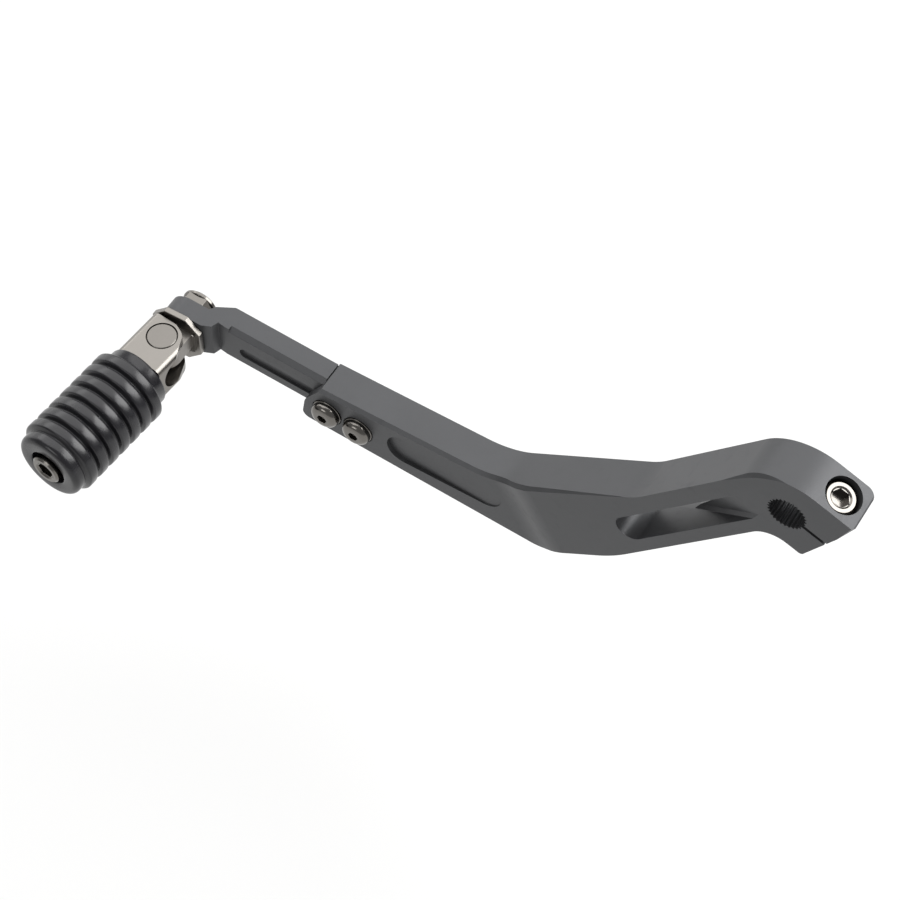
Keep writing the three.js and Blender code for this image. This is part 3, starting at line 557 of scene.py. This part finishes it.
class SHIFT_OT_fork(bpy.types.Operator):
    """Folding fork with its pin, retaining clip and return spring"""

    bl_idname = "shift.fork"
    bl_label = "Fork and pin"

    def execute(self, context):
        s = hardware_sizes()
        from_solid("peg_fork", "folding_fork", tumbled_steel(), "peg", s.fork_edge, 3)
        from_solid("hinge_pin", "fork_pin", pin_steel(), "peg", s.edge)
        from_solid("pin_clip", "retaining_clip", black_oxide(), "peg", s.edge)
        from_solid("return_spring", "torsion_spring", wire_steel(), "lever", s.wire_edge,
                   segments=1, angle=60.0)
        return {"FINISHED"}


def quarter_turn(steps, first=0):
    """Angles up to 90 degrees in equal steps, from the step numbered first."""
    return [k / steps * math.pi / 2 for k in range(first, steps + 1)]


def collar_points(s, inner, near):
    """The plain collar beside the fork, from the tube out to its rounded edge and along it."""
    r = s.collar_radius
    return [(inner, near), (r - 0.7 * MM, near), (r - 0.2 * MM, near - 0.2 * MM), (r, near - 0.7 * MM),
            (r + 0.05 * MM, near - 2.6 * MM)]


def rib_points(s, middle):
    """One rib, from the groove on its fork side to the groove on its outer side."""
    depth = s.rib_radius - s.valley_radius
    rising = [(s.valley_radius + depth * rise, middle + share * s.pitch) for share, rise in RIB]
    falling = [(s.valley_radius + depth * rise, middle - share * s.pitch) for share, rise in RIB[-2:0:-1]]
    return rising + falling


def cap_points(s, last, far):
    """The plain outer end: out of the last groove, along, and round to the end face."""
    step = s.cap_radius - s.valley_radius
    shoulder = [(s.valley_radius + step * math.sin(a), last - 0.35 * MM * (1 - math.cos(a)) - 0.1 * MM)
                for a in quarter_turn(4, 1)]
    rounded = [(s.cap_radius - s.cap_round * (1 - math.cos(a)), far + s.cap_round * (1 - math.sin(a)))
               for a in quarter_turn(8)]
    return shoulder + rounded


def pocket_points(s, inner, far):
    """The pocket for the end screw, its floor and the lip that the screw clamps."""
    mouth = [(s.pocket_radius + s.pocket_round * (1 - math.sin(a)), far + s.pocket_round * (1 - math.cos(a)))
             for a in quarter_turn(3)]
    floor = far + s.pocket_depth
    return mouth + [(s.pocket_radius, floor), (s.hole_radius, floor), (s.hole_radius, floor + s.lip),
                    (inner, floor + s.lip)]


class SHIFT_OT_rubber(bpy.types.Operator):
    """Ribbed rubber sleeve and the steel tube inside it"""

    bl_idname = "shift.rubber"
    bl_label = "Rubber sleeve"

    def execute(self, context):
        s = grip_sizes()
        far, near, _ = along_peg("rubber_sleeve")
        _, _, tube = along_peg("sleeve_insert")
        inner = tube + s.tube_room
        first = near - s.first_rib
        last = first - (s.ribs - 0.5) * s.pitch
        profile = collar_points(s, inner, near)
        for i in range(s.ribs):
            profile += rib_points(s, first - i * s.pitch)
        profile.append((s.valley_radius, last))
        profile += cap_points(s, last, far) + pocket_points(s, inner, far)
        bm = spun(profile, PEG, steps=112)
        piece = settle(bm, "ribbed_rubber", moulded_rubber(), "peg", "rubber_sleeve")
        mark_sharp(piece, 50.0)
        from_solid("sleeve_insert", "bonded_tube", tumbled_steel(), "peg",
                   hardware_sizes().tube_edge)
        return {"FINISHED"}


class SHIFT_OT_peg_screw(bpy.types.Operator):
    """Socket cap screw and washer at the outer end of the peg"""

    bl_idname = "shift.peg_screw"
    bl_label = "Peg end screw"

    def execute(self, context):
        edge = hardware_sizes().edge
        from_solid("peg_screw", "end_cap_screw", polished_stainless(), "peg", edge)
        from_solid("peg_screw_washer", "end_washer", black_oxide(), "peg", edge)
        return {"FINISHED"}


# ------------------------------------------------------------------ stage


def pale_floor_material():
    r = Recipe("Pale floor")
    r.set(Roughness=0.9, Specular_IOR_Level=0.05)
    r.set(Emission_Color=(1.0, 1.0, 0.995, 1.0), Emission_Strength=0.63)
    surface = r.surface(300.0, 4.0)
    r.colour(surface["Cloud"], (0.26, 0.26, 0.259), (0.28, 0.28, 0.279))
    return r.material


def softbox(name, offset, size, power):
    """A rectangular light that faces the lever's middle."""
    data = bpy.data.lights.new(name, "AREA")
    data.shape = "RECTANGLE"
    data.size, data.size_y = size
    data.energy = power
    light = bpy.data.objects.new(name, data)
    light.location = LEVER_MIDDLE + Vector(offset)
    light.rotation_euler = (LEVER_MIDDLE - light.location).to_track_quat("-Z", "Y").to_euler()
    bpy.context.scene.collection.objects.link(light)


class SHIFT_OT_stage(bpy.types.Operator):
    """Pale floor, soft studio light and camera"""

    bl_idname = "shift.stage"
    bl_label = "Stage"

    def execute(self, context):
        s = studio_sizes()
        scene = context.scene
        bm = bmesh.new()
        bmesh.ops.create_grid(bm, x_segments=8, y_segments=8, size=FLOOR_HALF_WIDTH)
        bmesh.ops.translate(bm, verts=bm.verts, vec=(0, 0, CAD_BOX[0][2] - s.drop))
        mesh = bpy.data.meshes.new("floor")
        bm.to_mesh(mesh)
        bm.free()
        mesh.materials.append(pale_floor_material())
        floor = bpy.data.objects.new("floor", mesh)
        scene.collection.objects.link(floor)

        world = bpy.data.worlds.new("Studio")
        world.use_nodes = True
        background = world.node_tree.nodes["Background"]
        background.inputs["Color"].default_value = (1.0, 1.0, 1.0, 1.0)
        background.inputs["Strength"].default_value = s.fill
        scene.world = world

        for name, offset, size, share in SOFTBOXES:
            softbox(name, offset, size, s.key * share)

        data = bpy.data.cameras.new("Camera")
        data.lens = s.lens
        data.sensor_width = SENSOR_WIDTH
        data.clip_start = NEAR_CLIP
        camera = bpy.data.objects.new("Camera", data)
        camera.location = CAMERA_PLACE
        camera.rotation_euler = CAMERA_TURN
        scene.collection.objects.link(camera)
        scene.camera = camera
        scene.view_settings.view_transform = "Standard"
        return {"FINISHED"}


STEPS = (
    SHIFT_OT_arm,
    SHIFT_OT_clamp_bolt,
    SHIFT_OT_joint_screws,
    SHIFT_OT_toe_mount,
    SHIFT_OT_fork,
    SHIFT_OT_rubber,
    SHIFT_OT_peg_screw,
    SHIFT_OT_stage,
)


class SHIFT_PT_panel(bpy.types.Panel):
    """Lists the pieces of the shift lever and their sizes"""

    bl_idname = "SHIFT_PT_panel"
    bl_label = "Shift Lever"
    bl_space_type = "VIEW_3D"
    bl_region_type = "UI"
    bl_category = "Shift Lever"

    def draw(self, context):
        layout = self.layout
        for name in GROUPS:
            group = getattr(context.scene, name)
            box = layout.box()
            for key in group.bl_rna.properties.keys():
                if key not in {"rna_type", "name"}:
                    box.prop(group, key)
        for step in STEPS:
            layout.operator(step.bl_idname)


GROUPS = {
    "shift_arm": ArmSizes,
    "shift_hardware": HardwareSizes,
    "shift_grip": GripSizes,
    "shift_studio": StudioSizes,
}
CLASSES = (*GROUPS.values(), *STEPS, SHIFT_PT_panel)


def register():
    for cls in CLASSES:
        bpy.utils.register_class(cls)
    for name, cls in GROUPS.items():
        setattr(bpy.types.Scene, name, PointerProperty(type=cls))


def unregister():
    for name in GROUPS:
        delattr(bpy.types.Scene, name)
    for cls in reversed(CLASSES):
        bpy.utils.unregister_class(cls)


def main():
    register()
    for step in STEPS:
        area, name = step.bl_idname.split(".")
        getattr(getattr(bpy.ops, area), name)()


if __name__ == "__main__":
    main()
